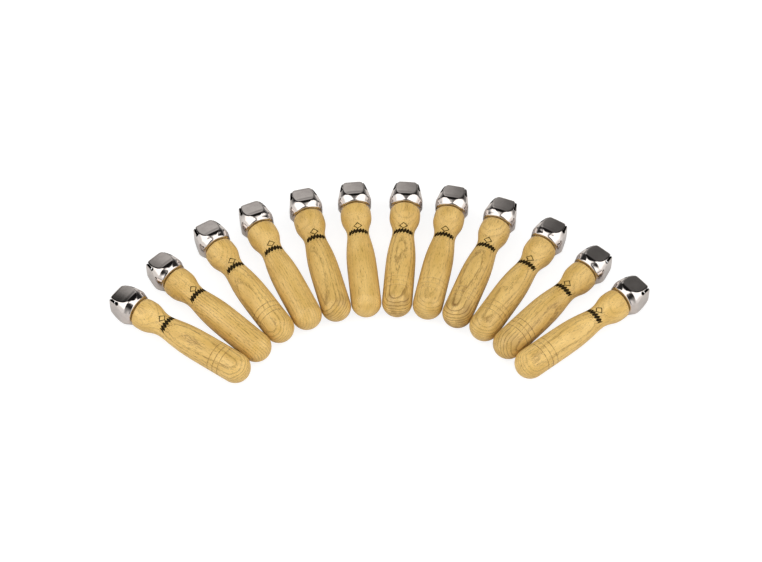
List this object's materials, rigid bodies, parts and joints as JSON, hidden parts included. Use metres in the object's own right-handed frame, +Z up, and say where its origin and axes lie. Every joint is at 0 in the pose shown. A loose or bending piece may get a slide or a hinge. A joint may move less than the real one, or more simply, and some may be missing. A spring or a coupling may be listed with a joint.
{
  "type": "hand sleigh bells",
  "caption": "Set of sleigh bells on turned wooden handles, laid in a fan; each pressed metal bell holds a loose pellet that rings when the handle is shaken.",
  "frame": {"origin": "middle of the fan's footprint, on the table that it lies on", "axes": "+Z up, +Y from the player's side towards the bells, +X to the right along the fan"},
  "size_m": [0.4096, 0.186, 0.0262],
  "materials": {
    "handle_wood": "satin clear lacquer on turned hardwood with fine dark pores",
    "bell_nickel": "bright nickel plate on pressed steel",
    "screw_zinc": "zinc plate",
    "pellet_steel": "bare tumbled steel"
  },
  "bodies": {
    "hand_bell_01": {"handle_01": "handle_wood", "bell_shell_01": "bell_nickel", "fixing_screw_01": "screw_zinc"},
    "loose_pellet_01": {"pellet_01": "pellet_steel"},
    "hand_bell_02": {"handle_02": "handle_wood", "bell_shell_02": "bell_nickel", "fixing_screw_02": "screw_zinc"},
    "loose_pellet_02": {"pellet_02": "pellet_steel"},
    "hand_bell_03": {"handle_03": "handle_wood", "bell_shell_03": "bell_nickel", "fixing_screw_03": "screw_zinc"},
    "loose_pellet_03": {"pellet_03": "pellet_steel"},
    "hand_bell_04": {"handle_04": "handle_wood", "bell_shell_04": "bell_nickel", "fixing_screw_04": "screw_zinc"},
    "loose_pellet_04": {"pellet_04": "pellet_steel"},
    "hand_bell_05": {"handle_05": "handle_wood", "bell_shell_05": "bell_nickel", "fixing_screw_05": "screw_zinc"},
    "loose_pellet_05": {"pellet_05": "pellet_steel"},
    "hand_bell_06": {"handle_06": "handle_wood", "bell_shell_06": "bell_nickel", "fixing_screw_06": "screw_zinc"},
    "loose_pellet_06": {"pellet_06": "pellet_steel"},
    "hand_bell_07": {"handle_07": "handle_wood", "bell_shell_07": "bell_nickel", "fixing_screw_07": "screw_zinc"},
    "loose_pellet_07": {"pellet_07": "pellet_steel"},
    "hand_bell_08": {"handle_08": "handle_wood", "bell_shell_08": "bell_nickel", "fixing_screw_08": "screw_zinc"},
    "loose_pellet_08": {"pellet_08": "pellet_steel"},
    "hand_bell_09": {"handle_09": "handle_wood", "bell_shell_09": "bell_nickel", "fixing_screw_09": "screw_zinc"},
    "loose_pellet_09": {"pellet_09": "pellet_steel"},
    "hand_bell_10": {"handle_10": "handle_wood", "bell_shell_10": "bell_nickel", "fixing_screw_10": "screw_zinc"},
    "loose_pellet_10": {"pellet_10": "pellet_steel"},
    "hand_bell_11": {"handle_11": "handle_wood", "bell_shell_11": "bell_nickel", "fixing_screw_11": "screw_zinc"},
    "loose_pellet_11": {"pellet_11": "pellet_steel"},
    "hand_bell_12": {"handle_12": "handle_wood", "bell_shell_12": "bell_nickel", "fixing_screw_12": "screw_zinc"},
    "loose_pellet_12": {"pellet_12": "pellet_steel"}
  },
  "joints": [
    {"name": "lift_off_01", "type": "slide", "parent": "hand_bell_06", "child": "hand_bell_01", "axis": [0, 0, 1], "range_m": [0, 0.15]},
    {"name": "lift_off_02", "type": "slide", "parent": "hand_bell_06", "child": "hand_bell_02", "axis": [0, 0, 1], "range_m": [0, 0.15]},
    {"name": "lift_off_03", "type": "slide", "parent": "hand_bell_06", "child": "hand_bell_03", "axis": [0, 0, 1], "range_m": [0, 0.15]},
    {"name": "lift_off_04", "type": "slide", "parent": "hand_bell_06", "child": "hand_bell_04", "axis": [0, 0, 1], "range_m": [0, 0.15]},
    {"name": "lift_off_05", "type": "slide", "parent": "hand_bell_06", "child": "hand_bell_05", "axis": [0, 0, 1], "range_m": [0, 0.15]},
    {"name": "lift_off_07", "type": "slide", "parent": "hand_bell_06", "child": "hand_bell_07", "axis": [0, 0, 1], "range_m": [0, 0.15]},
    {"name": "lift_off_08", "type": "slide", "parent": "hand_bell_06", "child": "hand_bell_08", "axis": [0, 0, 1], "range_m": [0, 0.15]},
    {"name": "lift_off_09", "type": "slide", "parent": "hand_bell_06", "child": "hand_bell_09", "axis": [0, 0, 1], "range_m": [0, 0.15]},
    {"name": "lift_off_10", "type": "slide", "parent": "hand_bell_06", "child": "hand_bell_10", "axis": [0, 0, 1], "range_m": [0, 0.15]},
    {"name": "lift_off_11", "type": "slide", "parent": "hand_bell_06", "child": "hand_bell_11", "axis": [0, 0, 1], "range_m": [0, 0.15]},
    {"name": "lift_off_12", "type": "slide", "parent": "hand_bell_06", "child": "hand_bell_12", "axis": [0, 0, 1], "range_m": [0, 0.15]},
    {"name": "pellet_roll_01", "type": "hinge", "parent": "hand_bell_01", "child": "loose_pellet_01", "pos_m": [-0.18258, -0.02968, 0.013], "axis": [-0.8223, 0.5689, 0.0154], "continuous": true},
    {"name": "pellet_roll_02", "type": "hinge", "parent": "hand_bell_02", "child": "loose_pellet_02", "pos_m": [-0.15831, 0.00109, 0.013], "axis": [-0.7177, 0.6961, 0.0154], "continuous": true},
    {"name": "pellet_roll_03", "type": "hinge", "parent": "hand_bell_03", "child": "loose_pellet_03", "pos_m": [-0.12618, 0.03151, 0.013], "axis": [-0.5479, 0.8364, 0.0154], "continuous": true},
    {"name": "pellet_roll_04", "type": "hinge", "parent": "hand_bell_04", "child": "loose_pellet_04", "pos_m": [-0.09388, 0.05018, 0.013], "axis": [-0.419, 0.9079, 0.0154], "continuous": true},
    {"name": "pellet_roll_05", "type": "hinge", "parent": "hand_bell_05", "child": "loose_pellet_05", "pos_m": [-0.05678, 0.06337, 0.013], "axis": [-0.2541, 0.967, 0.0154], "continuous": true},
    {"name": "pellet_roll_06", "type": "hinge", "parent": "hand_bell_06", "child": "loose_pellet_06", "pos_m": [-0.01942, 0.07001, 0.013], "axis": [-0.0971, 0.9952, 0.0154], "continuous": true},
    {"name": "pellet_roll_07", "type": "hinge", "parent": "hand_bell_07", "child": "loose_pellet_07", "pos_m": [0.02024, 0.0702, 0.013], "axis": [0.0798, 0.9967, 0.0154], "continuous": true},
    {"name": "pellet_roll_08", "type": "hinge", "parent": "hand_bell_08", "child": "loose_pellet_08", "pos_m": [0.0556, 0.0661, 0.013], "axis": [0.2117, 0.9772, 0.0154], "continuous": true},
    {"name": "pellet_roll_09", "type": "hinge", "parent": "hand_bell_09", "child": "loose_pellet_09", "pos_m": [0.09194, 0.05374, 0.013], "axis": [0.3644, 0.9311, 0.0154], "continuous": true},
    {"name": "pellet_roll_10", "type": "hinge", "parent": "hand_bell_10", "child": "loose_pellet_10", "pos_m": [0.12738, 0.03358, 0.013], "axis": [0.5332, 0.8459, 0.0154], "continuous": true},
    {"name": "pellet_roll_11", "type": "hinge", "parent": "hand_bell_11", "child": "loose_pellet_11", "pos_m": [0.15803, 0.00656, 0.013], "axis": [0.6816, 0.7316, 0.0154], "continuous": true},
    {"name": "pellet_roll_12", "type": "hinge", "parent": "hand_bell_12", "child": "loose_pellet_12", "pos_m": [0.1829, -0.02175, 0.013], "axis": [0.785, 0.6194, 0.0154], "continuous": true}
  ]
}
